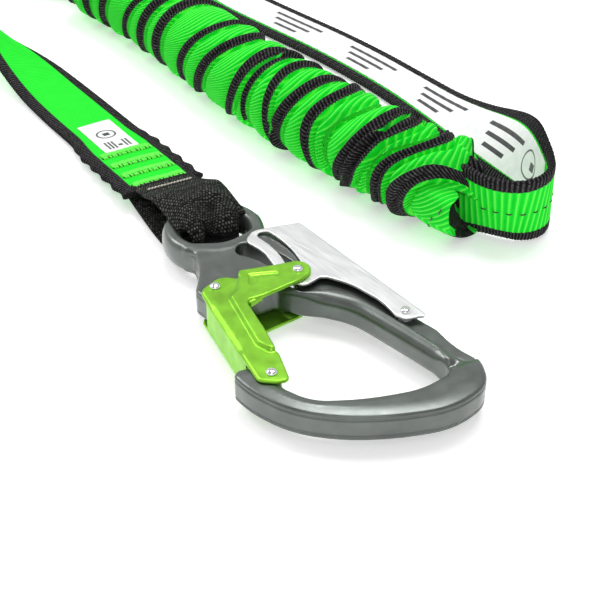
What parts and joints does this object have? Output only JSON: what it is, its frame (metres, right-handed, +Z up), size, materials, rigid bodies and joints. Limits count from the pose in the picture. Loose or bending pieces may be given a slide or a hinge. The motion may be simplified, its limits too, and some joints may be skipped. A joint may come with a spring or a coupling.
{
  "type": "shock absorbing lanyard",
  "caption": "Tool lanyard of tubular webbing gathered over an elastic core, with a double-action connector sewn in at each end.",
  "frame": {"origin": "on the ground plane, under the centre of the anchor connector's eye", "axes": "+X from the anchor connector's eye to its basket, +Y towards its lever, +Z up from the ground plane"},
  "size_m": [0.6084, 0.288, 0.0398],
  "materials": {
    "body_anodised": "satin gunmetal anodising",
    "gate_anodised": "satin green anodising",
    "lever_steel": "polished",
    "rivet_steel": "polished",
    "spring_steel": "plain wire",
    "webbing": "woven, green with charcoal edges",
    "elastic": "braided elastic",
    "wear_webbing": "woven black",
    "green_thread": "stitching",
    "grey_thread": "stitching",
    "label": "smooth woven label"
  },
  "bodies": {
    "webbing": {"lead_webbing": "webbing", "gathered_webbing": "webbing", "elastic_core": "elastic", "tail_webbing": "webbing", "anchor_wear_loop": "wear_webbing", "tool_wear_loop": "wear_webbing", "anchor_bar_tacks": "green_thread", "tool_bar_tacks": "green_thread", "anchor_loop_tack": "grey_thread", "tool_loop_tack": "grey_thread", "identity_label": "label", "load_label": "label"},
    "anchor_connector": {"anchor_hook_body": "body_anodised", "anchor_gate_pivot_rivet": "rivet_steel", "anchor_gate_spring": "spring_steel", "anchor_lever_pivot_rivet": "rivet_steel", "anchor_lever_spring": "spring_steel"},
    "anchor_gate_arm": {"anchor_gate": "gate_anodised", "anchor_gate_link_rivet": "rivet_steel", "anchor_gate_nose_rivet": "rivet_steel"},
    "anchor_lever_arm": {"anchor_lever": "lever_steel"},
    "tool_connector": {"tool_hook_body": "body_anodised", "tool_gate_pivot_rivet": "rivet_steel", "tool_gate_spring": "spring_steel", "tool_lever_pivot_rivet": "rivet_steel", "tool_lever_spring": "spring_steel"},
    "tool_gate_arm": {"tool_gate": "gate_anodised", "tool_gate_link_rivet": "rivet_steel", "tool_gate_nose_rivet": "rivet_steel"},
    "tool_lever_arm": {"tool_lever": "lever_steel"}
  },
  "joints": [
    {"name": "anchor_swivel", "type": "hinge", "parent": "webbing", "child": "anchor_connector", "pos_m": [0, 0, 0.01], "axis": [0, 0, 1], "range_deg": [-20, 20]},
    {"name": "anchor_gate_hinge", "type": "hinge", "parent": "anchor_connector", "child": "anchor_gate_arm", "pos_m": [0.038, -0.0285, 0.01], "axis": [0, 0, 1], "range_deg": [0, 51], "stiffness_Nm_per_rad": 0.05, "springref_deg": -20.05},
    {"name": "anchor_lever_hinge", "type": "hinge", "parent": "anchor_connector", "child": "anchor_lever_arm", "pos_m": [0.096, 0.0148, 0.01], "axis": [0, 0, 1], "range_deg": [0, 7], "stiffness_Nm_per_rad": 0.05, "springref_deg": -11.46},
    {"name": "tool_swivel", "type": "hinge", "parent": "webbing", "child": "tool_connector", "pos_m": [-0.32, 0.176, 0.01], "axis": [0, 0, 1], "range_deg": [-20, 20]},
    {"name": "tool_gate_hinge", "type": "hinge", "parent": "tool_connector", "child": "tool_gate_arm", "pos_m": [-0.358, 0.2045, 0.01], "axis": [0, 0, 1], "range_deg": [0, 51], "stiffness_Nm_per_rad": 0.05, "springref_deg": -20.05},
    {"name": "tool_lever_hinge", "type": "hinge", "parent": "tool_connector", "child": "tool_lever_arm", "pos_m": [-0.416, 0.1612, 0.01], "axis": [0, 0, 1], "range_deg": [0, 7], "stiffness_Nm_per_rad": 0.05, "springref_deg": -11.46}
  ],
  "couplings": [
    {"joint": "anchor_lever_hinge", "follows": "anchor_gate_hinge", "ratio": 0.137},
    {"joint": "tool_lever_hinge", "follows": "tool_gate_hinge", "ratio": 0.137}
  ]
}
